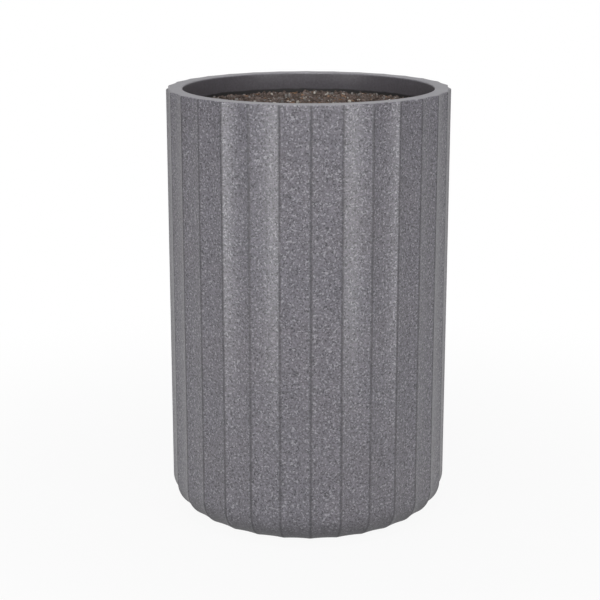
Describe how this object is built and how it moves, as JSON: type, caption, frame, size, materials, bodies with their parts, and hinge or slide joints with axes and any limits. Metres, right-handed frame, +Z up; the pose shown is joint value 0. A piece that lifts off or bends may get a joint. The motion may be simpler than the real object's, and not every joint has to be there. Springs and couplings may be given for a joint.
{
  "type": "fluted floor planter",
  "caption": "Tall round planter with concave flutes, a flat turned-in rim, a rounded lower edge and a drained, plugged foot, filled with soil over gravel.",
  "frame": {"origin": "middle of the foot, on the ground", "axes": "+Z up through the middle of the opening; an arris between two flutes faces -Y"},
  "size_m": [0.3978, 0.4, 0.61],
  "materials": {
    "shell": "satin",
    "plug": "matte",
    "screen": "matte",
    "gravel": "matte",
    "fleece": "matte",
    "soil": "matte"
  },
  "bodies": {
    "planter": {"planter_shell": "shell", "drain_screen": "screen", "drainage_gravel": "gravel", "filter_fleece": "fleece", "potting_soil": "soil"},
    "plug": {"drain_plug": "plug"}
  },
  "joints": [
    {"name": "drain_plug_pull", "type": "slide", "parent": "planter", "child": "plug", "axis": [0, 0, -1], "range_m": [0, 0.03]}
  ]
}
